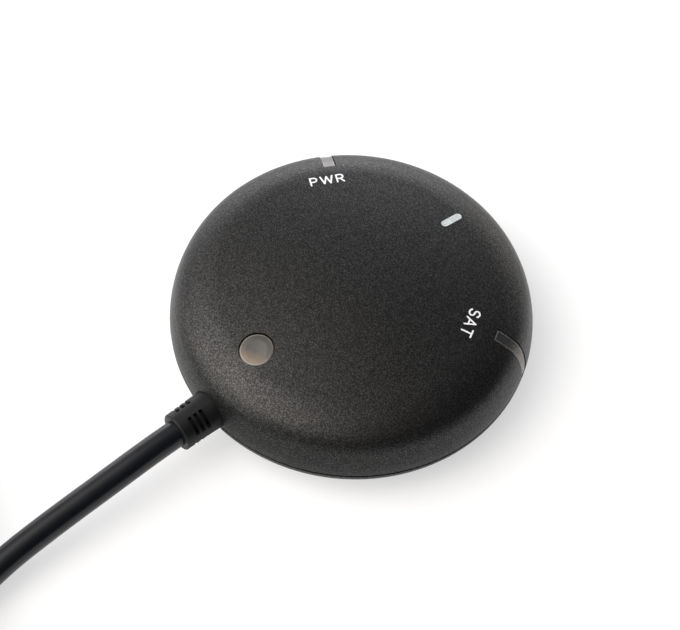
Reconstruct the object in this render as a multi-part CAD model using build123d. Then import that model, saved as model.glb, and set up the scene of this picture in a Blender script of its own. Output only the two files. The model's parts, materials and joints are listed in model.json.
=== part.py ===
from build123d import *
import math
import os

# Puck-shaped USB satellite-navigation receiver with its captive cable.
# Millimetres, +Z up. Origin: middle of the puck, on the surface it stands on.
# The cable leaves towards -Y; the white direction mark is on the +Y side.

# ---------------------------------------------------------------- dimensions
R_OUT = 30.0            # outer radius of the top cover
TOTAL_H = 18.5          # height over the rubber feet
PART_Z = 6.77           # height of the joint between the two covers
WALL = 1.6              # wall of both covers
CASE_BOTTOM = 0.5       # underside of the base cover, the feet stand 0.5 proud
BASE_R = 29.95          # radius of the base cover's visible strip
JOINT_GAP = 0.36        # open joint between the covers
GUIDE_HALF = 0.97       # half width of a light guide
GUIDE_GAP = 0.06        # gap beside a light guide
GUIDE_GAP_WIDE = 0.16   # gap on its other side
GUIDE_IN = 24.36        # radius of a light guide's inner end
GUIDE_SINK = 0.14       # a light guide's surface lies this far under the shell's
GUIDE_ANGLES = {"power_light_guide": 150.0, "fix_light_guide": 30.0}
BUTTON_Y = -20.16       # button centre
BUTTON_R = 2.75         # button cap radius
BUTTON_HOLE_R = 2.87    # hole in the top cover
BUTTON_SINK = 0.12      # cap surface below the shell
BUTTON_TRAVEL = 0.35
SCREW_R = 18.0          # pitch radius of the case screws
SCREW_ANGLES = (90.0, 210.0, 330.0)
FOOT_R = 20.0
FOOT_ANGLES = (30.0, 150.0, 270.0)
PCB_Z0, PCB_Z1, PCB_R = 7.0, 8.0, 26.0
GLAND_Z = 7.34          # axis of the cable outlet
GLAND_END = -36.4       # outer end of the strain relief
GLAND_R0, GLAND_R1 = 3.55, 3.30
SLOT_X = 0.66           # width of a flex slot
SLOT_PITCH = 1.09
HOLE_X = -0.05          # the cap sits this little off the middle of its hole
CABLE_D = 4.5
CABLE_LEN = 1500.0      # real length, exit to plug
COIL_C = (-21.5, -103.0)
COIL_MEAN = 26.0        # radius at the middle of the turns
COIL_H = 13.5           # three turns high, three turns wide
COIL_HALF = 6.75
PLUG_Z = 17.6           # height of the plug's axis, lying on the coil
PLUG_X = -46.0          # the plug points along +Y from here
PLUG_Y = -95.2          # rear end of the plug's strain relief

os.makedirs("parts", exist_ok=True)

# The dome's half section: four tangent arcs, (radius, sweep in degrees), from
# the joint up. The last arc is the crown and ends on the axis.
ARCS = [(14.035, 21.044), (5.368, 35.929), (13.526, 21.785)]


def V(x, y, z):
    return Vector(x, y, z)


def dome_edges(off):
    """Arcs of the dome's section moved inwards by off, in the XZ plane."""
    edges = []
    th = 0.0
    x, z = R_OUT, PART_Z
    for rad, sweep in ARCS:
        da = math.radians(sweep)
        cx, cz = x - rad * math.cos(th), z - rad * math.sin(th)
        r = rad - off
        p = [V(cx + r * math.cos(t), 0, cz + r * math.sin(t))
             for t in (th, th + da / 2, th + da)]
        edges.append(Edge.make_three_point_arc(p[0], p[1], p[2]))
        th += da
        x, z = cx + rad * math.cos(th), cz + rad * math.sin(th)
    rad = x / math.cos(th)
    cz = z - rad * math.sin(th)
    r = rad - off
    mid = (th + math.pi / 2) / 2
    edges.append(Edge.make_three_point_arc(
        V(r * math.cos(th), 0, cz + r * math.sin(th)),
        V(r * math.cos(mid), 0, cz + r * math.sin(mid)),
        V(0, 0, cz + r)))
    return edges


def dome_face(off, z0):
    edges = dome_edges(off)
    start = edges[0] @ 0
    top = edges[-1] @ 1
    low = V(start.X, 0, z0)
    lines = [Edge.make_line(V(0, 0, z0), low)]
    if abs(start.Z - z0) > 1e-6:
        lines.append(Edge.make_line(low, start))
    lines += edges
    lines.append(Edge.make_line(top, V(0, 0, z0)))
    return Face(Wire(lines))


def dome(off, z0):
    """Solid of revolution under the dome moved inwards by off, down to z0."""
    return revolve(dome_face(off, z0), axis=Axis.Z)


def turned(points):
    """Solid turned about Z from a closed outline of (radius, height)."""
    wire = Wire.make_polygon([V(r, 0, z) for r, z in points], close=True)
    return revolve(Face(wire), axis=Axis.Z)


def cyl(x, y, z0, z1, r):
    return Pos(x, y, z0) * Cylinder(r, z1 - z0, align=(Align.CENTER, Align.CENTER, Align.MIN))


def box(x0, x1, y0, y1, z0, z1):
    return Pos(x0, y0, z0) * Box(x1 - x0, y1 - y0, z1 - z0, align=(Align.MIN, Align.MIN, Align.MIN))


def cyl_y(x, z, y0, y1, r0, r1=None):
    """Round bar or cone along Y from y0 (radius r0) to y1 (radius r1)."""
    r1 = r0 if r1 is None else r1
    h = abs(y1 - y0)
    if abs(r1 - r0) < 1e-9:
        s = Cylinder(r0, h, align=(Align.CENTER, Align.CENTER, Align.MIN))
    else:
        s = Cone(r0, r1, h, align=(Align.CENTER, Align.CENTER, Align.MIN))
    turn = -90 if y1 > y0 else 90
    return Pos(x, y0, z) * (Rot(turn, 0, 0) * s)


def polar(r, deg):
    return r * math.cos(math.radians(deg)), r * math.sin(math.radians(deg))


def ring(r0, r1, z0, z1):
    return cyl(0, 0, z0, z1, r1) - cyl(0, 0, z0 - 1, z1 + 1, r0)


NODES = {}


def put(name, shape):
    NODES[name] = shape


gland_hole = cyl_y(0, GLAND_Z, -24.0, -33.0, GLAND_R0 + 0.1)

# ---------------------------------------------------------------- top cover
inner_dome = dome(WALL, PART_Z - 3.0)
top = dome(0.0, PART_Z)
top = fillet(top.edges().filter_by(lambda e: abs(e.center().Z - PART_Z) < 1e-3 and e.length > 100), 0.12)
top -= inner_dome
top += ring(28.4, 29.2, 5.87, PART_Z + 0.4)          # tongue into the base
for a in SCREW_ANGLES:                                # screw bosses
    x, y = polar(SCREW_R, a)
    top += cyl(x, y, PCB_Z1, TOTAL_H, 2.3) & dome(WALL * 0.5, PCB_Z1)
# sleeve that guides the button
top += (cyl(HOLE_X, BUTTON_Y, 13.95, TOTAL_H, BUTTON_HOLE_R + 0.9) & dome(WALL * 0.5, 8.0))
for a in SCREW_ANGLES:
    x, y = polar(SCREW_R, a)
    top -= cyl(x, y, PCB_Z1 - 1, 12.0, 0.98)
top -= cyl(HOLE_X, BUTTON_Y, 9.0, 20.0, BUTTON_HOLE_R)
for a, low, high in ((150.0, GUIDE_GAP_WIDE, GUIDE_GAP), (30.0, GUIDE_GAP, GUIDE_GAP_WIDE)):
    slot = box(GUIDE_IN - GUIDE_GAP, 32.0, -GUIDE_HALF - low, GUIDE_HALF + high, 4.0, 20.0)
    top -= Rot(0, 0, a) * slot                        # slots for the light guides
top -= gland_hole
put("top_cover", top)

# ---------------------------------------------------------------- base cover
arc_r, beta = 2.3, math.radians(35.0)
zc = PART_Z - 0.6
ax, az = BASE_R - arc_r * (1 - math.cos(beta)), zc - arc_r * math.sin(beta)
mx, mz = BASE_R - arc_r * (1 - math.cos(beta / 2)), zc - arc_r * math.sin(beta / 2)
slope = math.tan(beta)
rb = ax - (az - CASE_BOTTOM) * slope                  # where the cone meets the underside
fil = 2.5
turn = math.pi / 2 - beta
tl = fil * math.tan(turn / 2)
f0 = V(rb - tl, 0, CASE_BOTTOM)
f1 = V(rb + tl * math.sin(beta), 0, CASE_BOTTOM + tl * math.cos(beta))
fc = V(rb - tl, 0, CASE_BOTTOM + fil)
fm = V(fc.X + fil * math.sin(turn / 2), 0, fc.Z - fil * math.cos(turn / 2))
top_z = PART_Z - JOINT_GAP
outline = [
    Edge.make_line(V(0, 0, CASE_BOTTOM), f0),
    Edge.make_three_point_arc(f0, fm, f1),
    Edge.make_line(f1, V(ax, 0, az)),
    Edge.make_three_point_arc(V(ax, 0, az), V(mx, 0, mz), V(BASE_R, 0, zc)),
    Edge.make_line(V(BASE_R, 0, zc), V(BASE_R, 0, top_z - 0.08)),
    Edge.make_line(V(BASE_R, 0, top_z - 0.08), V(BASE_R - 0.08, 0, top_z)),
    Edge.make_line(V(BASE_R - 0.08, 0, top_z), V(0, 0, top_z)),
    Edge.make_line(V(0, 0, top_z), V(0, 0, CASE_BOTTOM)),
]
base = revolve(Face(Wire(outline)), axis=Axis.Z)
floor_z = CASE_BOTTOM + WALL
base -= turned([(0, floor_z), (25.2, floor_z), (27.6, 5.37), (29.25, 5.37), (29.25, 9.0), (0, 9.0)])
for a in SCREW_ANGLES:                                # posts that carry the board
    x, y = polar(SCREW_R, a)
    base += cyl(x, y, floor_z - 0.5, PCB_Z0, 2.9)
base += cyl(0, 0, floor_z - 0.5, 4.5, 10.4)           # roof of the magnet pocket
base -= cyl(0, 0, CASE_BOTTOM - 1, 3.5, 9.1)
for a in SCREW_ANGLES:
    x, y = polar(SCREW_R, a)
    base -= cyl(x, y, -1, 9.0, 1.1)
    base -= cyl(x, y, -1, 2.0, 1.95)
for a in FOOT_ANGLES:
    x, y = polar(FOOT_R, a)
    base -= cyl(x, y, -1, 1.2, 3.5)
base -= gland_hole & box(-5, 5, -33, -24, 0, 7.0)
put("base_cover", base)

# seal between tongue and base, open where the cable outlet sits
seal = ring(28.3, 29.15, 5.37, 5.85) - gland_hole
put("seal_ring", seal)

# ---------------------------------------------------------------- light guides
# Each is a flat bar cut to the dome's section, with a leg over its lamp.


def arc_centres():
    """Centre and start angle of the dome's first three arcs."""
    out, th, x, z = [], 0.0, R_OUT, PART_Z
    for rad, sweep in ARCS:
        cx, cz = x - rad * math.cos(th), z - rad * math.sin(th)
        out.append((cx, cz, rad, th, th + math.radians(sweep)))
        th += math.radians(sweep)
        x, z = cx + rad * math.cos(th), cz + rad * math.sin(th)
    return out


def arc_piece(k, off, t0, t1):
    cx, cz, rad, _, _ = arc_centres()[k]
    r = rad - off
    p = [V(cx + r * math.cos(t), 0, cz + r * math.sin(t)) for t in (t0, (t0 + t1) / 2, t1)]
    return Edge.make_three_point_arc(p[0], p[1], p[2]), p


GUIDE_THICK = 1.75
GUIDE_LEG_R = 26.3
GUIDE_FOOT_Z = 9.0
c1, c2, c3 = arc_centres()
s0, s1 = GUIDE_SINK, GUIDE_SINK + GUIDE_THICK
t_in = math.acos((GUIDE_IN - c3[0]) / (c3[2] - s0))
t_leg = math.acos((GUIDE_LEG_R - c2[0]) / (c2[2] - s1))
e1, p1 = arc_piece(0, s0, c1[3], c1[4])
e2, p2 = arc_piece(1, s0, c2[3], c2[4])
e3, p3 = arc_piece(2, s0, c3[3], t_in)
e4, p4 = arc_piece(1, s1, t_leg, c2[3])
e5, p5 = arc_piece(0, s1, c1[4], c1[3])
guide_wire = Wire([
    e1, e2, e3,
    Edge.make_line(p3[2], V(GUIDE_IN, 0, GUIDE_FOOT_Z)),
    Edge.make_line(V(GUIDE_IN, 0, GUIDE_FOOT_Z), V(GUIDE_LEG_R, 0, GUIDE_FOOT_Z)),
    Edge.make_line(V(GUIDE_LEG_R, 0, GUIDE_FOOT_Z), p4[0]),
    e4, e5,
    Edge.make_line(p5[2], p1[0]),
])
for name, a in GUIDE_ANGLES.items():
    put(name, Rot(0, 0, a) * extrude(Face(guide_wire), amount=GUIDE_HALF, both=True))

# ---------------------------------------------------------------- push button
cap = cyl(0, BUTTON_Y, 12.7, 19.0, BUTTON_R) & dome(BUTTON_SINK, 10.0)
top_edges = cap.edges().filter_by(lambda e: e.center().Z > 14.5).sort_by(Axis.Z)
cap = fillet([e for e in top_edges if e.length > 10], 0.24)
# shallow thumb dish
tilt = 10.6
cap_top = 16.61
dish = Pos(0, BUTTON_Y, cap_top) * (Rot(tilt, 0, 0) * (Pos(0, 0, 13.0 - 0.16) * Sphere(13.0)))
cap -= dish
cap += cyl(0, BUTTON_Y, 12.7, 13.4, 3.55)             # flange that keeps it in
put("button_cap", cap)
put("switch_plunger", cyl(0, BUTTON_Y, 10.9, 12.7, 1.6))
sw = box(-3, 3, BUTTON_Y - 3, BUTTON_Y + 3, PCB_Z1, 11.4)
sw -= cyl(0, BUTTON_Y, 10.3, 12.0, 1.8)
put("switch_body", sw)

# ---------------------------------------------------------------- board
pcb = cyl(0, 0, PCB_Z0, PCB_Z1, PCB_R)
pcb -= box(-6, 6, -30, -23.5, 0, 20)
for a in SCREW_ANGLES:
    x, y = polar(SCREW_R, a)
    pcb -= cyl(x, y, 0, 20, 1.15)
PIN = (2.2, 1.5)
pcb -= cyl(PIN[0], PIN[1], 0, 20, 0.65)
put("circuit_board", pcb)

PX, PY, PH = 0.0, 1.5, 12.5                            # patch antenna centre and half side
put("antenna_adhesive_pad", box(-10, 10, PY - 10, PY + 10, PCB_Z1, 8.2) - cyl(PIN[0], PIN[1], 0, 20, 1.2))
patch = box(-PH, PH, PY - PH, PY + PH, 8.2, 12.2)
patch = chamfer(patch.edges().filter_by(Axis.Z), 0.8)
patch -= cyl(PIN[0], PIN[1], 0, 20, 0.65)
put("patch_antenna", patch)
el = box(-10.2, 10.2, PY - 10.2, PY + 10.2, 12.2, 12.26)
el -= box(-11, -8.9, PY + 8.9, PY + 11, 0, 20)
el -= box(8.9, 11, PY - 11, PY - 8.9, 0, 20)
el -= cyl(PIN[0], PIN[1], 0, 20, 0.65)
put("antenna_electrode", el)
put("antenna_feed_pin", cyl(PIN[0], PIN[1], 6.2, 12.26, 0.6) + cyl(PIN[0], PIN[1], 12.26, 12.5, 1.2))

can = box(-8, 8, -9, 7, 5.1, PCB_Z0) - box(-7.8, 7.8, -8.8, 6.8, 5.3, 9)
can -= cyl(PIN[0], PIN[1], 4.0, 5.25, 0.4)
put("shield_can", can)
put("receiver_chip", box(-5.5, 1.5, -6.5, 0.5, 6.1, PCB_Z0))
put("reference_oscillator", box(3.6, 6.1, -6.0, -4.0, 6.2, PCB_Z0))
put("usb_bridge_chip", box(9.9, 14.9, 3.0, 8.0, 6.1, PCB_Z0))
put("voltage_regulator", box(15.2, 18.1, 4.0, 5.6, PCB_Z1, 9.1))
put("backup_cell", cyl(-18.4, 4.0, PCB_Z1, 10.1, 3.4))
caps = []
for x, y, dx, dy, h in ((15.6, 8.4, 1.0, 0.5, 0.5), (17.6, 8.4, 1.0, 0.5, 0.5), (16.4, 1.2, 2.0, 1.25, 1.0),
                        (19.6, 1.2, 2.0, 1.25, 1.0), (-14.8, -3.4, 1.0, 0.5, 0.5), (-16.8, -3.4, 1.0, 0.5, 0.5),
                        (-8.0, -15.0, 1.6, 0.8, 0.7), (-10.6, -15.0, 1.6, 0.8, 0.7), (6.2, 17.6, 1.6, 0.8, 0.7),
                        (-6.2, 17.6, 1.6, 0.8, 0.7)):
    caps.append(box(x - dx / 2, x + dx / 2, y - dy / 2, y + dy / 2, PCB_Z1, PCB_Z1 + h))
put("chip_capacitors", Compound(children=caps))
for name, a in (("power_led", 150.0), ("fix_led", 30.0)):
    led = Pos(25.2, 0, PCB_Z1) * Box(0.9, 1.6, 0.7, align=(Align.CENTER, Align.CENTER, Align.MIN))
    put(name, Rot(0, 0, a) * led)

# ---------------------------------------------------------------- cable outlet
gl = cyl_y(0, GLAND_Z, -26.6, -30.0, GLAND_R0)
gl += cyl_y(0, GLAND_Z, -30.0, GLAND_END, GLAND_R0, GLAND_R1)
gl = chamfer(gl.edges().sort_by(Axis.Y)[0], 0.22)
gl += box(-4.2, 4.2, -26.75, -25.9, 4.7, 11.1)         # plate that the covers hold
# the half below the mould line is a little smaller
low_half = box(-5, 5, GLAND_END - 1, -29.4, GLAND_Z - 5, GLAND_Z)
gl -= (cyl_y(0, GLAND_Z, -29.4, GLAND_END - 0.5, 5.0) - cyl_y(0, GLAND_Z, -29.3, GLAND_END - 0.6, GLAND_R1 - 0.12)) & low_half
# flex slots in four rows round it, two rows set off from the others
for centre, first in ((36.0, 1.86), (216.0, 1.86), (-57.0, 1.45), (123.0, 1.45)):
    for k in range(3):
        y0 = GLAND_END + first + SLOT_PITCH * k
        a0, a1 = centre - 28.5, centre + 28.5
        ringcut = cyl_y(0, 0, y0, y0 + SLOT_X, 4.5) - cyl_y(0, 0, y0 - 1, y0 + 2, 2.55)
        pts = [V(0, y0 - 0.5, 0)] + [V(8 * math.sin(math.radians(t)), y0 - 0.5, 8 * math.cos(math.radians(t)))
                                     for t in (a0, centre, a1)]
        wedge = extrude(Face(Wire.make_polygon(pts, close=True)), amount=2.0, dir=(0, 1, 0))
        gl -= Pos(0, 0, GLAND_Z) * (ringcut & wedge)
put("strain_relief", gl)

# four insulated wires from the outlet to the board connector
WIRES = {
    "wire_red": [(-0.65, -25.9, 6.75), (-0.65, -24.15, 6.75), (4.6, -24.1, 9.2), (8.0, -24.15, 9.2), (8.0, -21.5, 9.2)],
    "wire_white": [(0.65, -25.9, 6.75), (0.65, -25.2, 6.75), (5.4, -25.25, 9.15), (9.5, -25.2, 9.2), (9.5, -21.5, 9.2)],
    "wire_green": [(-0.65, -25.9, 8.05), (-0.65, -24.15, 8.05), (3.6, -24.1, 10.7), (8.0, -24.15, 10.7), (8.0, -21.5, 10.7)],
    "wire_black": [(0.65, -25.9, 8.05), (0.65, -25.2, 8.05), (4.6, -25.25, 10.65), (9.5, -25.2, 10.7), (9.5, -21.5, 10.7)],
}
for name, pts in WIRES.items():
    vs = [V(*p) for p in pts]
    path = FilletPolyline(*vs, radius=0.6)
    prof = Plane(origin=path @ 0, z_dir=path % 0) * Circle(0.42)
    put(name, sweep(prof, path=path))
put("wire_plug", box(6.9, 10.6, -21.5, -19.4, 8.4, 11.5))
put("cable_header", box(6.4, 11.1, -19.4, -16.4, PCB_Z1, 11.9))

# ---------------------------------------------------------------- base fittings
put("base_magnet", cyl(0, 0, 1.1, 3.5, 9.0))
put("magnet_cover", cyl(0, 0, 0.6, 1.1, 9.0))
feet, screws = [], []
for a in FOOT_ANGLES:
    x, y = polar(FOOT_R, a)
    f = cyl(x, y, 0.0, 1.2, 3.4)
    f = fillet(f.edges().sort_by(Axis.Z)[0], 0.25)
    feet.append(f)
put("rubber_feet", Compound(children=feet))
for a in SCREW_ANGLES:
    x, y = polar(SCREW_R, a)
    s = cyl(x, y, 0.75, 2.0, 1.8)
    s = fillet(s.edges().sort_by(Axis.Z)[0], 0.35)
    s += cyl(x, y, 2.0, 11.4, 0.95)
    cross = box(x - 1.0, x + 1.0, y - 0.18, y + 0.18, 0, 1.5) + box(x - 0.18, x + 0.18, y - 1.0, y + 1.0, 0, 1.5)
    s -= cross
    screws.append(s)
put("case_screws", Compound(children=screws))

# ---------------------------------------------------------------- the free cable


def route_tube(name, pts, diameter):
    """Round tube along straight runs joined by tangent arcs, each arc as large as its runs allow."""
    vs = [V(*p) for p in pts]
    radii = []
    runs = [(b - a).length for a, b in zip(vs, vs[1:])]
    for i in range(1, len(vs) - 1):
        turn_a = (vs[i] - vs[i - 1]).get_angle(vs[i + 1] - vs[i])
        radii.append(0.45 * min(runs[i - 1], runs[i]) / math.tan(math.radians(turn_a) / 2))
    path = FilletPolyline(*vs, radius=radii)
    prof = Plane(origin=path @ 0, z_dir=path % 0) * Circle(diameter / 2)
    tube = sweep(prof, path=path)
    want = math.pi * diameter ** 2 / 4 * path.length
    print(name, "runs", [round(r, 1) for r in runs], "radii", [round(r, 1) for r in radii],
          "length", round(path.length, 1), "volume ratio", round(tube.volume / want, 5))
    return tube


CX, CY = COIL_C
# outer stretch: outlet, sloping down to the surface, then over to the coil
ROUTE_OUT = [
    (0.0, GLAND_END, GLAND_Z),
    (0.0, -41.2, 7.28),
    (0.05, -49.5, 6.58),
    (0.0, -60.5, 5.55),
    (0.3, -71.5, 4.45),
    (2.3, -82.0, 3.2),
    (5.6, -92.0, 2.45),
    (8.5, -100.4, 2.27),
    (9.0, -108.2, 2.3),
]
put("usb_cable", route_tube("usb_cable", ROUTE_OUT, CABLE_D))

# inner stretch: from the top layer of the coil round to the plug lying on it
ROUTE_END = [
    (CX + 3.88, CY - 21.9, 11.7),
    (CX - 3.88, CY - 21.9, 13.7),
    (CX - 11.26, CY - 19.5, 15.4),
    (CX - 17.54, CY - 14.94, 16.3),
    (CX - 22.1, CY - 8.66, 16.8),
    (CX - 24.5, CY - 1.28, 17.3),
    (PLUG_X, PLUG_Y, PLUG_Z),
]
put("usb_cable_end", route_tube("usb_cable_end", ROUTE_END, CABLE_D))

sec = Pos(CX + COIL_MEAN, CY, COIL_H / 2) * (Plane.XZ * RectangleRounded(2 * COIL_HALF, COIL_H, 2.1))
coil = revolve(sec, axis=Axis((CX, CY, 0), (0, 0, 1)))
# strap round the bundle, pulled a little tight
TIE_A, TIE_W, TIE_T = 112.0, 5.0, 0.7
tie = extrude(RectangleRounded(2 * COIL_HALF - 0.4, COIL_H, 2.6) - RectangleRounded(2 * COIL_HALF - 0.4 - 2 * TIE_T, COIL_H - 2 * TIE_T, 2.0),
              amount=TIE_W / 2, both=True)
tie = Pos(CX, CY, 0) * (Rot(0, 0, TIE_A) * (Pos(COIL_MEAN, 0, COIL_H / 2) * (Rot(90, 0, 0) * tie)))
put("coil_tie", tie)
put("usb_cable_coil", coil - tie)

# plug, drawn along +X from the rear end of its strain relief and then turned to +Y
GRIP_X0, GRIP_X1, SHELL_X1 = 7.5, 29.5, 41.5


def plug_place(shape):
    return Pos(PLUG_X, PLUG_Y, PLUG_Z) * (Rot(0, 0, 90) * shape)


relief = Rot(0, 90, 0) * Cone(2.9, 3.5, 8.0, align=(Align.CENTER, Align.CENTER, Align.MIN))
grip = Pos((GRIP_X0 + GRIP_X1) / 2, 0, 0) * Box(GRIP_X1 - GRIP_X0, 15.6, 7.9)
grip = fillet(grip.edges().filter_by(Axis.X), 1.8)
grip = fillet(grip.faces().sort_by(Axis.X)[0].edges(), 1.5)
grip = fillet(grip.faces().sort_by(Axis.X)[-1].edges(), 0.6)
grip += relief
grip -= box(GRIP_X1 - 4.0, GRIP_X1 + 1.0, -6.0, 6.0, -2.25, 2.25)
put("usb_plug_grip", plug_place(grip))
shell = box(GRIP_X1 - 4.0, SHELL_X1, -6.0, 6.0, -2.25, 2.25)
shell = fillet(shell.edges().filter_by(Axis.X), 0.4)
shell -= box(GRIP_X1 - 3.7, SHELL_X1 + 1.0, -5.7, 5.7, -1.95, 1.95)
for yy in (-2.9, 2.9):                                   # latch windows
    shell -= box(GRIP_X1 + 4.4, GRIP_X1 + 6.6, yy - 1.15, yy + 1.15, -4, 4)
put("usb_plug_shell", plug_place(shell))
put("usb_plug_insulator", plug_place(box(GRIP_X1 - 3.6, SHELL_X1 - 0.6, -5.6, 5.6, -1.9, -0.05)))
put("usb_plug_contacts", plug_place(Compound(children=[
    box(GRIP_X1 + 2.4, SHELL_X1 - 1.1, yy - 0.5, yy + 0.5, -0.05, 0.12) for yy in (-3.5, -1.0, 1.0, 3.5)])))

for name, shape in NODES.items():
    export_step(shape if isinstance(shape, (Compound, Solid)) else Compound(children=list(shape.solids())), f"parts/{name}.step")
print(len(NODES), "nodes")
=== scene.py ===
import bpy
import bmesh
import json
import math
from mathutils import Matrix, Vector


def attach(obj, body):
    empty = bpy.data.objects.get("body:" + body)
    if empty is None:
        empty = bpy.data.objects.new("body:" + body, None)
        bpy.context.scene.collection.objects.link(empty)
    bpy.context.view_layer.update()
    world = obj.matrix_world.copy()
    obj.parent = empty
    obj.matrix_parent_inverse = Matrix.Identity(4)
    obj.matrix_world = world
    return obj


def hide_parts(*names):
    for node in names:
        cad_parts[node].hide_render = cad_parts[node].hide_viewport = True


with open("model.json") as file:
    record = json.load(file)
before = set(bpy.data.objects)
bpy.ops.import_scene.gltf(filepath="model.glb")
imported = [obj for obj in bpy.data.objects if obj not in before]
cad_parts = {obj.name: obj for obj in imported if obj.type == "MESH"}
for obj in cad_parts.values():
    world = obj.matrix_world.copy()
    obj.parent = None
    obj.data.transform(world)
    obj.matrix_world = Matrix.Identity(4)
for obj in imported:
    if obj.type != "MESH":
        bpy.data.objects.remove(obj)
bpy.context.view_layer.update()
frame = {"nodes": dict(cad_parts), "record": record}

NODES = frame["nodes"]
MM = 0.001
scene = bpy.context.scene


# ---------------------------------------------------------------- camera
AZ, EL, DIST, ROLL = math.radians(46.62), math.radians(57.68), 0.37765, math.radians(4.51)
TARGET = Vector((-0.00042, -0.00222, 0.00877))
back = Vector((math.sin(AZ) * math.cos(EL), -math.cos(AZ) * math.cos(EL), math.sin(EL)))
right = Vector((math.cos(AZ), math.sin(AZ), 0.0))
up = back.cross(right)
right_r = right * math.cos(ROLL) + up * math.sin(ROLL)
up_r = up * math.cos(ROLL) - right * math.sin(ROLL)
cam_data = bpy.data.cameras.new("camera")
cam_data.sensor_fit = "HORIZONTAL"
cam_data.sensor_width = 36.0
cam_data.lens = 2296.1 * 36.0 / 680.0
cam_data.clip_start = 0.01
cam_data.clip_end = 20.0
camera = bpy.data.objects.new("camera", cam_data)
scene.collection.objects.link(camera)
camera.matrix_world = Matrix((
    (right_r.x, up_r.x, back.x, 0.0),
    (right_r.y, up_r.y, back.y, 0.0),
    (right_r.z, up_r.z, back.z, 0.0),
    (0.0, 0.0, 0.0, 1.0)))
camera.location = TARGET + back * DIST
scene.camera = camera


# ---------------------------------------------------------------- material helpers
def material(name):
    m = bpy.data.materials.new(name)
    m.use_nodes = True
    nt = m.node_tree
    bsdf = nt.nodes.get("Principled BSDF")
    return m, nt, bsdf


def coords(nt, kind="Object", scale=None):
    tc = nt.nodes.new("ShaderNodeTexCoord")
    if scale is None:
        return tc.outputs[kind]
    mp = nt.nodes.new("ShaderNodeMapping")
    mp.inputs["Scale"].default_value = scale
    nt.links.new(tc.outputs[kind], mp.inputs["Vector"])
    return mp.outputs["Vector"]


def noise(nt, vec, scale, detail=2.0, rough=0.5, dist=0.0):
    n = nt.nodes.new("ShaderNodeTexNoise")
    n.inputs["Scale"].default_value = scale
    n.inputs["Detail"].default_value = detail
    n.inputs["Roughness"].default_value = rough
    n.inputs["Distortion"].default_value = dist
    nt.links.new(vec, n.inputs["Vector"])
    return n.outputs["Fac"]


def voronoi(nt, vec, scale, feature="F1", out="Distance", smooth=None, rand=1.0):
    n = nt.nodes.new("ShaderNodeTexVoronoi")
    n.feature = feature
    n.inputs["Scale"].default_value = scale
    n.inputs["Randomness"].default_value = rand
    if smooth is not None and "Smoothness" in n.inputs:
        n.inputs["Smoothness"].default_value = smooth
    nt.links.new(vec, n.inputs["Vector"])
    return n.outputs[out]


def ramp(nt, fac, stops, interp="LINEAR"):
    n = nt.nodes.new("ShaderNodeValToRGB")
    n.color_ramp.interpolation = interp
    el = n.color_ramp.elements
    el[0].position, el[0].color = stops[0][0], (*stops[0][1], 1.0)
    el[1].position, el[1].color = stops[-1][0], (*stops[-1][1], 1.0)
    for p, c in stops[1:-1]:
        e = el.new(p)
        e.color = (*c, 1.0)
    nt.links.new(fac, n.inputs["Fac"])
    return n.outputs["Color"]


def maprange(nt, v, a, b, c, d, clamp=True):
    n = nt.nodes.new("ShaderNodeMapRange")
    n.clamp = clamp
    for k, x in zip(("From Min", "From Max", "To Min", "To Max"), (a, b, c, d)):
        n.inputs[k].default_value = x
    nt.links.new(v, n.inputs["Value"])
    return n.outputs["Result"]


def mathn(nt, op, a, b=None, clamp=False):
    n = nt.nodes.new("ShaderNodeMath")
    n.operation = op
    n.use_clamp = clamp
    for i, v in enumerate((a, b)):
        if v is None:
            continue
        if isinstance(v, (int, float)):
            n.inputs[i].default_value = v
        else:
            nt.links.new(v, n.inputs[i])
    return n.outputs[0]


def mixc(nt, fac, a, b, mode="MIX"):
    n = nt.nodes.new("ShaderNodeMix")
    n.data_type = "RGBA"
    n.blend_type = mode
    for sock, v in (("Factor", fac), ("A", a), ("B", b)):
        s = [x for x in n.inputs if x.name == sock and (x.type == ("VALUE" if sock == "Factor" else "RGBA"))][0]
        if isinstance(v, (int, float)):
            s.default_value = v
        elif isinstance(v, tuple):
            s.default_value = (*v, 1.0)
        else:
            nt.links.new(v, s)
    return [o for o in n.outputs if o.type == "RGBA"][0]


def bump(nt, height, strength, distance, normal=None):
    n = nt.nodes.new("ShaderNodeBump")
    n.inputs["Strength"].default_value = strength
    n.inputs["Distance"].default_value = distance
    nt.links.new(height, n.inputs["Height"])
    if normal is not None:
        nt.links.new(normal, n.inputs["Normal"])
    return n.outputs["Normal"]


def sepxyz(nt, vec):
    n = nt.nodes.new("ShaderNodeSeparateXYZ")
    nt.links.new(vec, n.inputs[0])
    return n.outputs


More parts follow.
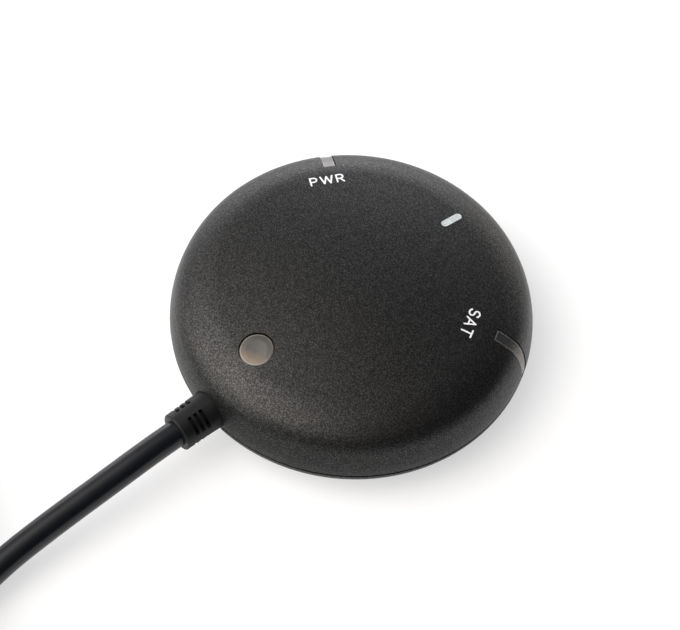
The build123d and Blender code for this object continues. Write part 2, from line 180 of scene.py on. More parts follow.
def moulded(name, dark, light, rough=(0.45, 0.6), grain=2600.0, depth=0.00003, strength=0.3,
            spec=0.5, big=60.0, sss=None, coat=None, speck=None, detail=2.0):
    """Moulded plastic or rubber: mottled colour, uneven gloss, a fine moulded grain."""
    m, nt, b = material(name)
    v = coords(nt)
    blotch = noise(nt, v, big, 3.0, 0.6)
    fine = noise(nt, v, grain, detail, 0.55)
    mottled = ramp(nt, mathn(nt, "ADD", mathn(nt, "MULTIPLY", blotch, 0.6), mathn(nt, "MULTIPLY", fine, 0.4)),
                   [(0.3, dark), (0.7, light)])
    col = mottled
    if speck:
        spots = voronoi(nt, v, speck[0])
        mask = maprange(nt, spots, speck[1], speck[1] * 0.45, 0.0, speck[2])
        col = mixc(nt, mask, mottled, speck[3])
    nt.links.new(col, b.inputs["Base Color"])
    nt.links.new(maprange(nt, noise(nt, v, grain * 0.37, 3.0, 0.6), 0.3, 0.7, rough[0], rough[1]), b.inputs["Roughness"])
    b.inputs["Specular IOR Level"].default_value = spec
    if sss:
        b.inputs["Subsurface Weight"].default_value = sss[0]
        b.inputs["Subsurface Radius"].default_value = sss[1]
        b.inputs["Subsurface Scale"].default_value = sss[2]
    if coat:
        b.inputs["Coat Weight"].default_value = coat[0]
        b.inputs["Coat Roughness"].default_value = coat[1]
    nt.links.new(bump(nt, fine, strength, depth), b.inputs["Normal"])
    return m


def metal(name, dark, light, rough=(0.2, 0.35), stretch=(1.0, 1.0, 1.0), grain=1500.0, depth=0.00001):
    m, nt, b = material(name)
    v = coords(nt, scale=stretch)
    n1 = noise(nt, v, grain, 4.0, 0.6)
    n2 = noise(nt, v, grain * 0.05, 3.0, 0.55)
    nt.links.new(ramp(nt, n2, [(0.3, dark), (0.72, light)]), b.inputs["Base Color"])
    nt.links.new(maprange(nt, n1, 0.3, 0.7, rough[0], rough[1]), b.inputs["Roughness"])
    b.inputs["Metallic"].default_value = 1.0
    nt.links.new(bump(nt, n1, 0.2, depth), b.inputs["Normal"])
    return m


# ---------------------------------------------------------------- the case plastic
def case_plastic():
    m, nt, b = material("black_spark_eroded_abs")
    v = coords(nt)
    # eroded facets about 0.12 mm across, each with its own tilt, paleness and gloss
    cell = sepxyz(nt, voronoi(nt, v, 8600.0, out="Color"))
    grit = noise(nt, v, 4300.0, 2.0, 0.6)
    spark = mathn(nt, "POWER", cell[0], 2.6)
    blotch = noise(nt, v, 85.0, 3.0, 0.6)
    col = ramp(nt, blotch, [(0.32, (0.0040, 0.0041, 0.0043)), (0.7, (0.0056, 0.0056, 0.0056))])
    # the facet tops are rubbed a little paler, and there is rare pale dust
    col = mixc(nt, mathn(nt, "MULTIPLY", spark, 0.55), col, (0.0245, 0.0243, 0.0242))
    dust = maprange(nt, voronoi(nt, v, 760.0), 0.075, 0.035, 0.0, 0.4)
    dmask = maprange(nt, noise(nt, v, 330.0, 2.0), 0.56, 0.68, 0.0, 1.0)
    col = mixc(nt, mathn(nt, "MULTIPLY", dust, dmask), col, (0.12, 0.117, 0.114))
    nt.links.new(col, b.inputs["Base Color"])
    nt.links.new(maprange(nt, mathn(nt, "ADD", mathn(nt, "MULTIPLY", cell[1], 0.6), mathn(nt, "MULTIPLY", blotch, 0.4)),
                          0.1, 0.9, 0.46, 0.29), b.inputs["Roughness"])
    # the lower flank is moulded duller than the crown
    x, y, z = sepxyz(nt, v)
    dull = maprange(nt, z, 0.0090, 0.0130, 0.66, 1.0)
    nt.links.new(mathn(nt, "MULTIPLY", maprange(nt, spark, 0.0, 1.0, 0.18, 0.80), dull), b.inputs["Specular IOR Level"])
    h = mathn(nt, "ADD", mathn(nt, "MULTIPLY", cell[2], 0.35), grit)
    nt.links.new(bump(nt, h, 0.5, 0.00003), b.inputs["Normal"])
    return m


CASE = case_plastic()

# ---------------------------------------------------------------- floor and light
def stage_floor():
    bpy.ops.mesh.primitive_plane_add(size=6.0, location=(0, 0, -0.00005))
    f = bpy.context.object
    f.name = "floor"
    m, nt, b = material("floor_paper")
    v = coords(nt)
    nt.links.new(ramp(nt, noise(nt, v, 3.0, 2.0), [(0.3, (0.470, 0.480, 0.492)), (0.7, (0.480, 0.490, 0.502))]), b.inputs["Base Color"])
    b.inputs["Emission Color"].default_value = (1.0, 1.0, 1.0, 1.0)
    b.inputs["Emission Strength"].default_value = 0.55
    b.inputs["Roughness"].default_value = 0.9
    b.inputs["Specular IOR Level"].default_value = 0.1
    f.data.materials.append(m)
    return f


stage_floor()

# Soft studio light, all from large soft panels: (azimuth, elevation, tightness, colour).
# Azimuth is counted as the camera's, which stands at 46.6.
PANELS = [
    (180.0, 3.0, 30.0, (1.734, 1.709, 1.663)),
    (195.0, 3.0, 30.0, (1.58, 1.38, 1.36)),
    (225.0, 3.0, 30.0, (2.45, 2.28, 2.36)),
    (240.0, 3.0, 30.0, (1.66, 1.63, 1.67)),
    (255.0, 3.0, 30.0, (2.486, 2.470, 2.425)),
    (270.0, 3.0, 30.0, (0.470, 0.506, 0.569)),
    (285.0, 3.0, 30.0, (0.100, 0.145, 0.266)),
    (300.0, 3.0, 30.0, (0.229, 0.253, 0.299)),
    (315.0, 3.0, 30.0, (1.675, 1.666, 1.632)),
    (330.0, 3.0, 30.0, (2.918, 2.950, 2.927)),
    (345.0, 3.0, 30.0, (1.965, 2.150, 2.211)),
    (198.0, 18.0, 20.0, (0.130, 0.181, 0.082)),
    (222.0, 18.0, 20.0, (1.38, 1.46, 1.56)),
    (318.0, 18.0, 20.0, (1.528, 1.447, 1.328)),
    (162.0, 38.0, 14.0, (0.017, 0.053, 0.104)),
    (306.0, 38.0, 14.0, (2.605, 2.466, 2.370)),
    (349.0, 47.0, 18.0, (2.85, 2.70, 2.50)),
    (212.0, 31.0, 26.0, (0.55, 0.56, 0.59)),
    (0.0, 60.0, 10.0, (1.694, 1.561, 1.489)),
    (306.0, 61.0, 17.0, (3.15, 3.04, 2.92)),
]
PANEL_GAIN = 1.09


def studio():
    world = bpy.data.worlds.new("studio")
    scene.world = world
    world.use_nodes = True
    nt = world.node_tree
    bg = nt.nodes["Background"]
    tc = nt.nodes.new("ShaderNodeTexCoord")
    total = None
    for az, el, k, col in PANELS:
        a, e_ = math.radians(az), math.radians(el)
        dot = nt.nodes.new("ShaderNodeVectorMath")
        dot.operation = "DOT_PRODUCT"
        dot.inputs[1].default_value = (math.sin(a) * math.cos(e_), -math.cos(a) * math.cos(e_), math.sin(e_))
        nt.links.new(tc.outputs["Generated"], dot.inputs[0])
        f = mathn(nt, "EXPONENT", mathn(nt, "MULTIPLY", mathn(nt, "SUBTRACT", dot.outputs["Value"], 1.0), k))
        sc = nt.nodes.new("ShaderNodeVectorMath")
        sc.operation = "SCALE"
        sc.inputs[0].default_value = col
        nt.links.new(f, sc.inputs["Scale"])
        if total is None:
            total = sc.outputs[0]
        else:
            ad = nt.nodes.new("ShaderNodeVectorMath")
            ad.operation = "ADD"
            nt.links.new(total, ad.inputs[0])
            nt.links.new(sc.outputs[0], ad.inputs[1])
            total = ad.outputs[0]
    nt.links.new(total, bg.inputs["Color"])
    bg.inputs["Strength"].default_value = PANEL_GAIN


studio()

# ---------------------------------------------------------------- other materials
M = {}
M["cable_pvc"] = moulded("cable_pvc", (0.0040, 0.0050, 0.0072), (0.0064, 0.0076, 0.0104), (0.26, 0.34), 900.0, 0.00004, 0.10, 0.36, 40.0)
M["gland_pvc"] = moulded("gland_pvc", (0.0050, 0.0052, 0.0058), (0.0085, 0.0086, 0.0094), (0.38, 0.50), 2400.0, 0.00003, 0.30, 0.24, 120.0)
M["black_rubber"] = moulded("black_rubber", (0.012, 0.012, 0.012), (0.022, 0.0215, 0.021), (0.72, 0.85), 3000.0, 0.00004, 0.4, 0.35)
M["seal_rubber"] = moulded("seal_rubber", (0.03, 0.03, 0.031), (0.045, 0.045, 0.046), (0.6, 0.7), 1800.0, 0.00003, 0.25, 0.4)
M["board_green"] = moulded("board_green", (0.008, 0.075, 0.028), (0.012, 0.110, 0.040), (0.22, 0.34), 700.0, 0.00002, 0.15, 0.5, 400.0)
M["antenna_ceramic"] = moulded("antenna_ceramic", (0.52, 0.44, 0.33), (0.62, 0.55, 0.43), (0.55, 0.7), 2600.0, 0.00002, 0.25, 0.45)
M["silver_film"] = metal("silver_film", (0.78, 0.76, 0.72), (0.9, 0.89, 0.86), (0.25, 0.42))
M["tinned_steel"] = metal("tinned_steel", (0.60, 0.60, 0.59), (0.74, 0.74, 0.73), (0.22, 0.36), (1, 8, 1))
M["chip_black"] = moulded("chip_black", (0.018, 0.018, 0.019), (0.030, 0.030, 0.031), (0.5, 0.62), 5000.0, 0.00001, 0.3)
M["led_body"] = moulded("led_body", (0.62, 0.62, 0.58), (0.78, 0.78, 0.74), (0.3, 0.4), 1500.0, 0.00001, 0.1)
M["cell_steel"] = metal("cell_steel", (0.62, 0.62, 0.61), (0.76, 0.76, 0.75), (0.2, 0.32), (1, 1, 6))
M["capacitor_body"] = moulded("capacitor_body", (0.25, 0.18, 0.11), (0.36, 0.27, 0.17), (0.4, 0.5), 4000.0, 0.00001, 0.2)
M["connector_plastic"] = moulded("connector_plastic", (0.62, 0.60, 0.54), (0.72, 0.70, 0.64), (0.42, 0.52), 1500.0, 0.00002, 0.15)
M["switch_plastic"] = moulded("switch_plastic", (0.02, 0.02, 0.021), (0.033, 0.033, 0.034), (0.42, 0.55), 2500.0, 0.00002, 0.2)
M["adhesive_foam"] = moulded("adhesive_foam", (0.55, 0.55, 0.52), (0.68, 0.68, 0.64), (0.8, 0.92), 1800.0, 0.00005, 0.6, 0.2)
M["magnet_nickel"] = metal("magnet_nickel", (0.62, 0.60, 0.56), (0.74, 0.72, 0.68), (0.16, 0.3))
M["zinc_screw"] = metal("zinc_screw", (0.50, 0.51, 0.52), (0.68, 0.69, 0.70), (0.22, 0.38), (1, 1, 1), 2600.0, 0.00001)
M["wire_red_pvc"] = moulded("wire_red_pvc", (0.42, 0.018, 0.014), (0.52, 0.026, 0.02), (0.35, 0.45), 1800.0, 0.00001, 0.1)
M["wire_white_pvc"] = moulded("wire_white_pvc", (0.68, 0.68, 0.66), (0.78, 0.78, 0.76), (0.35, 0.45), 1800.0, 0.00001, 0.1)
M["wire_green_pvc"] = moulded("wire_green_pvc", (0.018, 0.26, 0.06), (0.026, 0.34, 0.08), (0.35, 0.45), 1800.0, 0.00001, 0.1)
M["wire_black_pvc"] = moulded("wire_black_pvc", (0.012, 0.012, 0.012), (0.02, 0.02, 0.02), (0.35, 0.45), 1800.0, 0.00001, 0.1)
M["usb_shell_nickel"] = metal("usb_shell_nickel", (0.60, 0.60, 0.60), (0.76, 0.76, 0.75), (0.16, 0.28), (6, 1, 1))
M["usb_tongue"] = moulded("usb_tongue", (0.68, 0.68, 0.67), (0.78, 0.78, 0.77), (0.35, 0.45), 1200.0, 0.00001, 0.12)
M["contact_gold"] = metal("contact_gold", (0.78, 0.55, 0.22), (0.92, 0.70, 0.34), (0.18, 0.3))
M["black_case_plastic"] = CASE


def guide_plastic():
    """Smoky clear polycarbonate: the guide beside the fix lamp is clearer and darker, and both have a painted highlight
    along their cut edges.
    """
    m, nt, b = material("light_guide_plastic")
    v = coords(nt)
    x, y, z = sepxyz(nt, v)
    ax = mathn(nt, "ABSOLUTE", x)
    # the guides run out at 30 degrees either side: distance across one, and out along it
    across = mathn(nt, "ABSOLUTE", mathn(nt, "SUBTRACT", mathn(nt, "MULTIPLY", y, 0.8660), mathn(nt, "MULTIPLY", ax, 0.5)))
    out = mathn(nt, "ADD", mathn(nt, "MULTIPLY", ax, 0.8660), mathn(nt, "MULTIPLY", y, 0.5))
    cloud = noise(nt, v, 210.0, 1.0, 0.5)
    milky = ramp(nt, cloud, [(0.3, (0.185, 0.185, 0.182)), (0.7, (0.215, 0.213, 0.208))])
    clear = ramp(nt, maprange(nt, out, 0.0243, 0.0300, 0.0, 1.0),
                 [(0.0, (0.085, 0.085, 0.090)), (0.4, (0.115, 0.112, 0.110)), (0.8, (0.25, 0.225, 0.195)), (1.0, (0.30, 0.26, 0.22))])
    side = maprange(nt, x, -0.001, 0.001, 0.0, 1.0)
    col = mixc(nt, side, milky, clear)
    # painted highlight: the cut edges are coloured pale, more on the clear guide than on the milky one
    painted_edge_highlight = mathn(nt, "MAXIMUM", maprange(nt, across, 0.00074, 0.00090, 0.0, 1.0), maprange(nt, out, 0.02462, 0.02442, 0.0, 1.0))
    col = mixc(nt, mathn(nt, "MULTIPLY", painted_edge_highlight, maprange(nt, side, 0.0, 1.0, 0.35, 0.85)), col, (0.60, 0.585, 0.555))
    nt.links.new(col, b.inputs["Base Color"])
    nt.links.new(maprange(nt, cloud, 0.3, 0.7, 0.24, 0.28), b.inputs["Roughness"])
    nt.links.new(maprange(nt, side, 0.0, 1.0, 0.42, 0.72), b.inputs["Transmission Weight"])
    b.inputs["Specular IOR Level"].default_value = 0.38
    b.inputs["IOR"].default_value = 1.55
    return m


M["light_guide_plastic"] = guide_plastic()


def button_plastic():
    """Smoked translucent cap, cloudy, with a painted dish reflection (dark at the upper left, beige towards the rim on
    the cable side) and a painted highlight on its rim.
    """
    m, nt, b = material("button_plastic")
    v = coords(nt)
    x, y, z = sepxyz(nt, v)
    # across the cap, -1 to 1, along the direction of the painted dish reflection
    px = mathn(nt, "MULTIPLY", mathn(nt, "SUBTRACT", x, BTN_X), 1.0 / BTN_R)
    py = mathn(nt, "MULTIPLY", mathn(nt, "SUBTRACT", y, BTN_Y), 1.0 / BTN_R)
    along = mathn(nt, "ADD", mathn(nt, "MULTIPLY", px, 0.45), mathn(nt, "MULTIPLY", py, -0.89))
    rad = mathn(nt, "SQRT", mathn(nt, "ADD", mathn(nt, "MULTIPLY", px, px), mathn(nt, "MULTIPLY", py, py)))
    cloud = noise(nt, v, 900.0, 3.0, 0.6)
    # painted reflection: the dished face goes from dark to beige along that direction
    f = mathn(nt, "ADD", along, mathn(nt, "MULTIPLY", mathn(nt, "SUBTRACT", cloud, 0.5), 0.9))
    col = ramp(nt, maprange(nt, f, -1.0, 1.0, 0.0, 1.0),
               [(0.0, (0.030, 0.030, 0.029)), (0.28, (0.056, 0.055, 0.052)), (0.55, (0.080, 0.077, 0.070)), (0.82, (0.165, 0.130, 0.100)), (1.0, (0.205, 0.165, 0.130))])
    # painted highlight on the bevel round the cap's rim, strongest at the two ends of that direction
    ring = mathn(nt, "MULTIPLY", maprange(nt, rad, 0.88, 0.95, 0.0, 1.0), maprange(nt, mathn(nt, "ABSOLUTE", along), 0.0, 0.8, 0.35, 0.85))
    col = mixc(nt, ring, col, (0.29, 0.265, 0.235))
    nt.links.new(col, b.inputs["Base Color"])
    nt.links.new(maprange(nt, cloud, 0.3, 0.7, 0.40, 0.48), b.inputs["Roughness"])
    b.inputs["Specular IOR Level"].default_value = 0.4
    nt.links.new(bump(nt, cloud, 0.25, 0.00002), b.inputs["Normal"])
    return m


BTN_X, BTN_Y, BTN_R = 0.0, -0.02016, 0.00275
M["button_plastic"] = button_plastic()


def strap_nylon():
    """Woven hook-and-loop strap: a fine rib across, fuzzy."""
    m, nt, b = material("strap_nylon")
    v = coords(nt)
    w = nt.nodes.new("ShaderNodeTexWave")
    w.wave_type = "BANDS"
    w.bands_direction = "DIAGONAL"
    w.inputs["Scale"].default_value = 420.0
    w.inputs["Distortion"].default_value = 1.5
    w.inputs["Detail"].default_value = 2.0
    nt.links.new(v, w.inputs["Vector"])
    fz = noise(nt, v, 3200.0, 3.0, 0.7)
    mixv = mathn(nt, "ADD", mathn(nt, "MULTIPLY", w.outputs["Fac"], 0.6), mathn(nt, "MULTIPLY", fz, 0.4))
    nt.links.new(ramp(nt, mixv, [(0.25, (0.008, 0.008, 0.009)), (0.75, (0.030, 0.030, 0.031))]), b.inputs["Base Color"])
    nt.links.new(maprange(nt, fz, 0.3, 0.7, 0.75, 0.95), b.inputs["Roughness"])
    b.inputs["Sheen Weight"].default_value = 0.35
    b.inputs["Sheen Roughness"].default_value = 0.5
    nt.links.new(bump(nt, mixv, 0.6, 0.00008), b.inputs["Normal"])
    return m


M["strap_nylon"] = strap_nylon()

slots = {s["node"]: s["material_slot"] for s in frame["record"]["subparts"]}
for node, obj in NODES.items():
    mat = M[slots[node]]
    if not obj.material_slots:
        obj.data.materials.append(mat)
    for s in obj.material_slots:
        s.material = mat

# ---------------------------------------------------------------- the free cable
CX, CY = -21.5, -103.0
CABLE_D = 4.5
route_out = [
    (0.0, -36.4, 7.34),
    (0.0, -41.2, 7.28),
    (0.05, -49.5, 6.58),
    (0.0, -60.5, 5.55),
    (0.3, -71.5, 4.45),
    (2.3, -82.0, 3.2),
    (5.6, -92.0, 2.45),
    (8.5, -100.4, 2.27),
    (9.0, -108.2, 2.3),
]
route_end = [
    (CX + 3.88, CY - 21.9, 11.7),
    (CX - 3.88, CY - 21.9, 13.7),
    (CX - 11.26, CY - 19.5, 15.4),
    (CX - 17.54, CY - 14.94, 16.3),
    (CX - 22.1, CY - 8.66, 16.8),
    (CX - 24.5, CY - 1.28, 17.3),
    (-46.0, -95.2, 17.6),
]
# turns of the coil: (radius of the turn's middle, height), wound clockwise from
# the point where the outer stretch runs into it
R1, R2, R3 = 30.5, 26.0, 21.5
Z1, Z2, Z3 = 2.27, 6.75, 11.22
TURNS = [(R1, Z1), (R2, Z1), (R3, Z1), (R3, Z2), (R2, Z2), (R1, Z2), (R1, Z3), (R2, Z3)]
PER = 14                        # control points to a turn
PINCH = math.radians(112.0)     # where the strap draws the bundle together
FIRST_A, LAST_A = math.radians(-24.0), math.radians(-72.0)


def smooth(t):
    t = min(1.0, max(0.0, t))
    return t * t * (3.0 - 2.0 * t)


def coil_points():
    pts = []
    lanes = TURNS + [(R3, Z3)]
    total = 8.25
    n = int(round(total * PER))
    for i in range(1, n):
        u = i * total / n                       # turns wound so far
        ang = -u * 2.0 * math.pi
        k = int(u)
        f = u - k
        r, z = lanes[k]
        # each lane change takes the last part of a turn
        if k + 1 < len(lanes):
            s = smooth((f - 0.72) / 0.28)
            r += (lanes[k + 1][0] - r) * s
            z += (lanes[k + 1][1] - z) * s
        pts.append((ang, r, z, u))
    return pts


CORD = []
for p in route_out:
    CORD.append(p)
for ang, r, z, u in coil_points():
    if u < 0.12 or u > 8.18:
        continue
    d = math.atan2(math.sin(ang - PINCH), math.cos(ang - PINCH))
    g = math.exp(-(d / 0.32) ** 2)
    rr = r + 0.0
    # drawn together under the strap
    rr = rr + (26.0 - rr) * 0.03 * g
    # a little hand-wound unevenness, the same every run
    wob = 0.22 * math.sin(3.0 * ang + 1.7 * math.floor(u)) + 0.12 * math.sin(5.0 * ang + 0.9 * math.floor(u))
    rr = rr + wob * 0.3
    rc = rr / math.cos(math.pi / PER) * 0.9985 + 0.0
    rc = rr * (1.0 + (1.0 / math.cos(math.pi / PER) - 1.0) * 0.5)
    CORD.append((CX + rc * math.cos(ang), CY + rc * math.sin(ang), z))
for p in route_end:
    CORD.append(p)

cd = bpy.data.curves.new("cable", "CURVE")
cd.dimensions = "3D"
sp = cd.splines.new("NURBS")
sp.points.add(len(CORD) - 1)
for k, p in enumerate(CORD):
    sp.points[k].co = (p[0] * MM, p[1] * MM, p[2] * MM, 1.0)
sp.order_u = 3
sp.use_endpoint_u = True
sp.resolution_u = 10
cd.bevel_depth = CABLE_D / 2 * MM
cd.bevel_resolution = 7
cd.use_fill_caps = True
cable = bpy.data.objects.new("cable", cd)
scene.collection.objects.link(cable)
cable.data.materials.append(M["cable_pvc"])
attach(cable, "root")
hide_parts("usb_cable", "usb_cable_coil", "usb_cable_end")

# ---------------------------------------------------------------- prints on the dome
import numpy as np

ARCS = [(14.035, 21.044), (5.368, 35.929), (13.526, 21.785)]


def dome_z(r):
    """Height of the shell over its axis distance, from the four arcs of its section."""
    th, x, z = 0.0, 30.0, 6.77
    for rad, sweep in ARCS:
        da = math.radians(sweep)
        cx, cz = x - rad * math.cos(th), z - rad * math.sin(th)
        x2, z2 = cx + rad * math.cos(th + da), cz + rad * math.sin(th + da)
        if r >= x2:
            return cz + math.sqrt(max(0.0, rad * rad - (r - cx) ** 2))
        x, z, th = x2, z2, th + da
    rad = x / math.cos(th)
    return z - rad * math.sin(th) + math.sqrt(max(0.0, rad * rad - r * r))


def bow(cx, cy, rx, ry, a0, a1, n=14):
    return [(cx + rx * math.cos(math.radians(a0 + (a1 - a0) * i / n)),
             cy + ry * math.sin(math.radians(a0 + (a1 - a0) * i / n))) for i in range(n + 1)]


# letters as strokes on a cap height of 1, each with its width
GLYPHS = {
    "P": (0.66, [[(0, 0), (0, 1)], [(0, 1), (0.34, 1)] + bow(0.36, 0.725, 0.30, 0.275, 90, -90) + [(0, 0.45)]]),
    "W": (1.20, [[(0, 1), (0.28, 0), (0.60, 0.96), (0.92, 0), (1.20, 1)]]),
    "R": (0.68, [[(0, 0), (0, 1)], [(0, 1), (0.34, 1)] + bow(0.36, 0.725, 0.30, 0.275, 90, -90) + [(0, 0.45)],
                 [(0.36, 0.45), (0.68, 0)]]),
    "S": (0.68, [bow(0.34, 0.745, 0.31, 0.255, 25, 250, 18)[:-1] + bow(0.34, 0.255, 0.33, 0.255, 70, -155, 18)]),
    "A": (0.84, [[(0, 0), (0.42, 1), (0.84, 0)], [(0.15, 0.33), (0.69, 0.33)]]),
    "T": (0.76, [[(0, 1), (0.76, 1)], [(0.38, 1), (0.38, 0)]]),
}


def legend_lines(word, cap, gap):
    lines, x = [], 0.0
    for ch in word:
        w, strokes = GLYPHS[ch]
        for st in strokes:
            lines.append([(x + px * cap, py * cap) for px, py in st])
        x += w * cap + gap
    total = x - gap
    return [[(px - total / 2, py - cap / 2) for px, py in ln] for ln in lines]


def print_mesh(name, lines, half, centre, u_dir, v_dir, step=0.045, proud=0.012, thick=0.02):
    """Ink on the dome: the band within half of the lines, cut out of a fine grid and laid on the shell."""
    pts = np.array([p for ln in lines for p in ln])
    lo, hi = pts.min(0) - half - 2 * step, pts.max(0) + half + 2 * step
    nx, ny = int((hi[0] - lo[0]) / step) + 2, int((hi[1] - lo[1]) / step) + 2
    gx, gy = lo[0] + step * np.arange(nx), lo[1] + step * np.arange(ny)
    X, Y = np.meshgrid(gx, gy, indexing="ij")
    D = np.full(X.shape, 1e9)
    for ln in lines:
        for (ax, ay), (bx, by) in zip(ln, ln[1:]):
            dx, dy = bx - ax, by - ay
            t = np.clip(((X - ax) * dx + (Y - ay) * dy) / max(dx * dx + dy * dy, 1e-12), 0, 1)
            D = np.minimum(D, np.hypot(X - ax - t * dx, Y - ay - t * dy))
    D -= half
    D = np.where(np.abs(D) < 1e-5, 1e-5, D)
    verts, faces, index = [], [], {}

    def vert(key, x, y):
        if key not in index:
            index[key] = len(verts)
            verts.append((x, y))
        return index[key]

    for i in range(nx - 1):
        for j in range(ny - 1):
            ids = [(i, j), (i + 1, j), (i + 1, j + 1), (i, j + 1)]
            d = [D[a] for a in ids]
            if min(d) >= 0:
                continue
            poly = []
            for k in range(4):
                a, b = ids[k], ids[(k + 1) % 4]
                da, db = d[k], d[(k + 1) % 4]
                if da < 0:
                    poly.append(vert(a, gx[a[0]], gy[a[1]]))
                if (da < 0) != (db < 0):
                    t = da / (da - db)
                    x = gx[a[0]] + (gx[b[0]] - gx[a[0]]) * t
                    y = gy[a[1]] + (gy[b[1]] - gy[a[1]]) * t
                    poly.append(vert((min(a, b), max(a, b)), x, y))
            if len(poly) >= 3:
                faces.append(poly)
    out = []
    for u, v in verts:
        x = centre[0] + u_dir[0] * u + v_dir[0] * v
        y = centre[1] + u_dir[1] * u + v_dir[1] * v
        out.append((x * MM, y * MM, (dome_z(math.hypot(x, y)) + proud) * MM))
    me = bpy.data.meshes.new(name)
    me.from_pydata(out, [], faces)
    me.validate()
    bm = bmesh.new()
    bm.from_mesh(me)
    bmesh.ops.remove_doubles(bm, verts=bm.verts, dist=2e-7)
    bmesh.ops.dissolve_degenerate(bm, edges=bm.edges, dist=2e-7)
    bmesh.ops.recalc_face_normals(bm, faces=bm.faces)
    if sum(f.normal.z for f in bm.faces) < 0:
        bmesh.ops.reverse_faces(bm, faces=bm.faces)
    bm.to_mesh(me)
    bm.free()
    o = bpy.data.objects.new(name, me)
    scene.collection.objects.link(o)
    for p in me.polygons:
        p.use_smooth = False
    so = o.modifiers.new("ink", "SOLIDIFY")
    so.thickness = thick * MM
    so.offset = -1.0
    o.data.materials.append(INK)
    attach(o, "root")
    return o


def ink():
    """Pad-printed white: slightly uneven cover with pinholes over the grain."""
    m, nt, b = material("white_print")
    v = coords(nt)
    fine = noise(nt, v, 5200.0, 3.0, 0.65)
    soft = noise(nt, v, 900.0, 2.0, 0.5)
    cover = mathn(nt, "ADD", mathn(nt, "MULTIPLY", fine, 0.7), mathn(nt, "MULTIPLY", soft, 0.3))
    thick = ramp(nt, cover, [(0.28, (0.46, 0.47, 0.50)), (0.42, (0.76, 0.77, 0.82)), (0.7, (0.84, 0.85, 0.90))])
    # the mark in the middle is worn thinner than the legends, and shows the grain
    thin = ramp(nt, cover, [(0.36, (0.26, 0.29, 0.31)), (0.50, (0.50, 0.555, 0.575)), (0.64, (0.68, 0.74, 0.76))])
    x, y, z = sepxyz(nt, v)
    side = maprange(nt, mathn(nt, "ABSOLUTE", x), 0.003, 0.004, 0.0, 1.0)
    nt.links.new(mixc(nt, side, thin, thick), b.inputs["Base Color"])
    nt.links.new(maprange(nt, fine, 0.3, 0.7, 0.5, 0.65), b.inputs["Roughness"])
    nt.links.new(bump(nt, fine, 0.3, 0.00001), b.inputs["Normal"])
    return m


INK = ink()


def turned_by(deg):
    """Reading direction and upright of a legend whose tops point outwards at deg."""
    t = math.radians(deg)
    return (math.sin(t), -math.cos(t)), (math.cos(t), math.sin(t))


PWR_AT, PWR_DEG = (-18.72, 9.66), 152.8
SAT_AT, SAT_DEG = (17.3, 9.93), 28.8
u, v = turned_by(PWR_DEG)
print_mesh("legend_power", legend_lines("PWR", 1.64, 0.70), 0.138, PWR_AT, u, v)
u, v = turned_by(SAT_DEG)
print_mesh("legend_fix", legend_lines("SAT", 1.72, 0.56), 0.140, SAT_AT, u, v)
print_mesh("direction_mark", [[(0.0, -1.46), (0.0, 1.46)]], 0.61, (0.23, 20.71), (1.0, 0.0), (0.0, 1.0), step=0.06)

# ---------------------------------------------------------------- plug grip and strap
def ring_solid(name, rings, mat, closed=False):
    """Closed skin through rings of equal point counts (mm), smooth."""
    n = len(rings[0])
    verts = [(p[0] * MM, p[1] * MM, p[2] * MM) for ring in rings for p in ring]
    faces = []
    m = len(rings)
    for i in range(m if closed else m - 1):
        a0, b0 = i * n, ((i + 1) % m) * n
        for k in range(n):
            faces.append((a0 + k, a0 + (k + 1) % n, b0 + (k + 1) % n, b0 + k))
    if not closed:
        faces.append(tuple(range(n - 1, -1, -1)))
        faces.append(tuple((m - 1) * n + k for k in range(n)))
    me = bpy.data.meshes.new(name)
    me.from_pydata(verts, [], faces)
    bm = bmesh.new()
    bm.from_mesh(me)
    bmesh.ops.recalc_face_normals(bm, faces=bm.faces)
    bm.to_mesh(me)
    bm.free()
    for p in me.polygons:
        p.use_smooth = True
    o = bpy.data.objects.new(name, me)
    scene.collection.objects.link(o)
    o.data.materials.append(mat)
    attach(o, "root")
    return o


def squircle(x, a, b, n, side=0.0, count=64):
    """Section across the plug at x: half width a, half height b, squareness n."""
    out = []
    for k in range(count):
        t = 2 * math.pi * (k + 0.5) / count
        c, s_ = math.cos(t), math.sin(t)
        y = a * math.copysign(abs(c) ** (2.0 / n), c)
        z = b * math.copysign(abs(s_) ** (2.0 / n), s_)
        if side:
            w = smooth((abs(y) / a - 0.62) / 0.3) * smooth((0.98 - abs(z) / b) / 0.25)
            y -= math.copysign(side * w, y)
        out.append((x, y, z))
    return out


def to_plug(ring):
    return [(-46.0 - y, -95.2 + x, 17.6 + z) for x, y, z in ring]


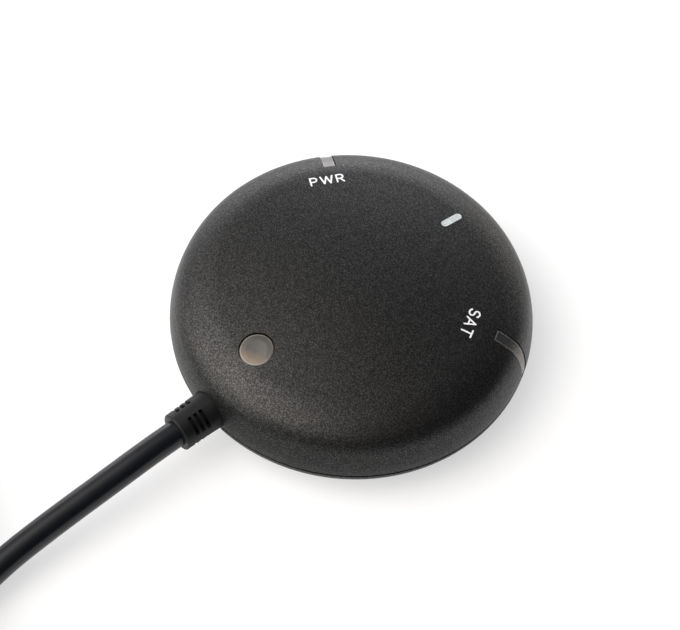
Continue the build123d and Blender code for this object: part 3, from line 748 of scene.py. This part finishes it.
def plug_grip():
    st = [(0.0, 2.55, 2.55, 2, 0), (0.08, 2.78, 2.78, 2, 0), (0.3, 2.9, 2.9, 2, 0)]
    x = 1.0
    for k in range(4):                       # flex rings of the relief
        r = 2.9 + 0.6 * x / 8.0
        for dx, dr in ((0.0, 0.0), (0.06, -0.1), (0.12, -0.5), (0.52, -0.5), (0.58, -0.1), (0.64, 0.0)):
            st.append((x + dx, r + dr, r + dr, 2, 0))
        x += 1.55
    st += [(7.2, 3.44, 3.44, 2, 0), (7.46, 3.5, 3.46, 2, 0), (7.5, 4.4, 3.5, 2.6, 0), (7.52, 5.6, 3.3, 4, 0), (7.66, 6.5, 3.42, 5, 0),
           (8.0, 7.1, 3.62, 5.5, 0), (8.6, 7.5, 3.8, 6, 0), (9.4, 7.72, 3.9, 6, 0), (10.4, 7.8, 3.95, 6, 0), (11.6, 7.8, 3.95, 6, 0)]
    x = 12.2
    for k in range(7):                       # grip ribs on the two narrow sides
        for dx, d in ((0.0, 0.0), (0.15, 0.12), (0.35, 0.42), (0.75, 0.42), (0.95, 0.12), (1.1, 0.0)):
            st.append((x + dx, 7.8, 3.95, 6, d))
        x += 1.75
    st += [(25.4, 7.8, 3.95, 6, 0), (28.4, 7.8, 3.95, 6, 0), (29.0, 7.74, 3.9, 6, 0), (29.32, 7.6, 3.78, 6, 0), (29.46, 7.4, 3.6, 6, 0),
           (29.5, 7.15, 3.36, 6, 0), (29.5, 6.06, 2.31, 14, 0), (29.45, 6.02, 2.27, 14, 0), (26.2, 6.02, 2.27, 14, 0)]
    return ring_solid("plug_grip", [to_plug(squircle(*s_)) for s_ in st], M["gland_pvc"])


def strap():
    """Hook-and-loop strap: one closed band, and its tail pressed on top of it."""
    ca, sa = math.cos(PINCH), math.sin(PINCH)

    def place(q, w, h):                      # q along the ring's radius, w along the turn, h up
        return (CX + (26.0 + q) * ca - w * sa, CY + (26.0 + q) * sa + w * ca, 6.75 + h)

    def track(off, a0=0.0, a1=1.0, n=72):
        """Rounded rectangle round the bundle, moved out by off; a0 and a1 are fractions of it."""
        hx, hz, r = 6.55 + off, 6.75 + off, 2.6 + off
        segs = [("l", (hx, -(hz - r)), (hx, hz - r)), ("c", (hx - r, hz - r), 0.0), ("l", (hx - r, hz), (-(hx - r), hz)),
                ("c", (-(hx - r), hz - r), 90.0), ("l", (-hx, hz - r), (-hx, -(hz - r))), ("c", (-(hx - r), -(hz - r)), 180.0),
                ("l", (-(hx - r), -hz), (hx - r, -hz)), ("c", (hx - r, -(hz - r)), 270.0)]
        pts = []
        for sg in segs:
            for i in range(10):
                t = i / 10.0
                if sg[0] == "l":
                    pts.append((sg[1][0] + (sg[2][0] - sg[1][0]) * t, sg[1][1] + (sg[2][1] - sg[1][1]) * t))
                else:
                    an = math.radians(sg[2] + 90.0 * t)
                    pts.append((sg[1][0] + r * math.cos(an), sg[1][1] + r * math.sin(an)))
        k0, k1 = int(a0 * len(pts)), int(a1 * len(pts))
        return [pts[k % len(pts)] for k in range(k0, k1)]

    half, th = 2.5, 0.7
    outer, inner = track(-0.02), track(-th + 0.02)
    prof = [(-half, 0.25), (-half + 0.12, 0.02), (half - 0.12, 0.02), (half, 0.25), (half, 0.75), (half - 0.12, 0.98), (-half + 0.12, 0.98), (-half, 0.75)]
    rings = []
    for (ox, oz), (ix, iz) in zip(outer, inner):
        rings.append([place(ix + (ox - ix) * f, w, iz + (oz - iz) * f) for w, f in prof])
    band = ring_solid("strap", rings, M["strap_nylon"], closed=True)
    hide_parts("coil_tie")
    lo_, hi_ = track(0.0, 0.02, 0.40), track(0.55, 0.02, 0.40)
    rings = []
    for k, ((ix, iz), (ox, oz)) in enumerate(zip(lo_, hi_)):
        end = min(1.0, 0.35 + 0.25 * min(k, len(lo_) - 1 - k))
        lift = 0.06 + (0.22 if k < 3 else 0.0) * (3 - k) / 3.0
        rings.append([place(ix + (ox - ix) * (lift + f), w * end ** 0.35, iz + (oz - iz) * (lift + f)) for w, f in prof])
    tail = ring_solid("strap_tail", rings, M["strap_nylon"])
    return band, tail


GRIP = plug_grip()
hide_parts("usb_plug_grip")
STRAP, TAIL = strap()

scene.view_settings.view_transform = "Standard"
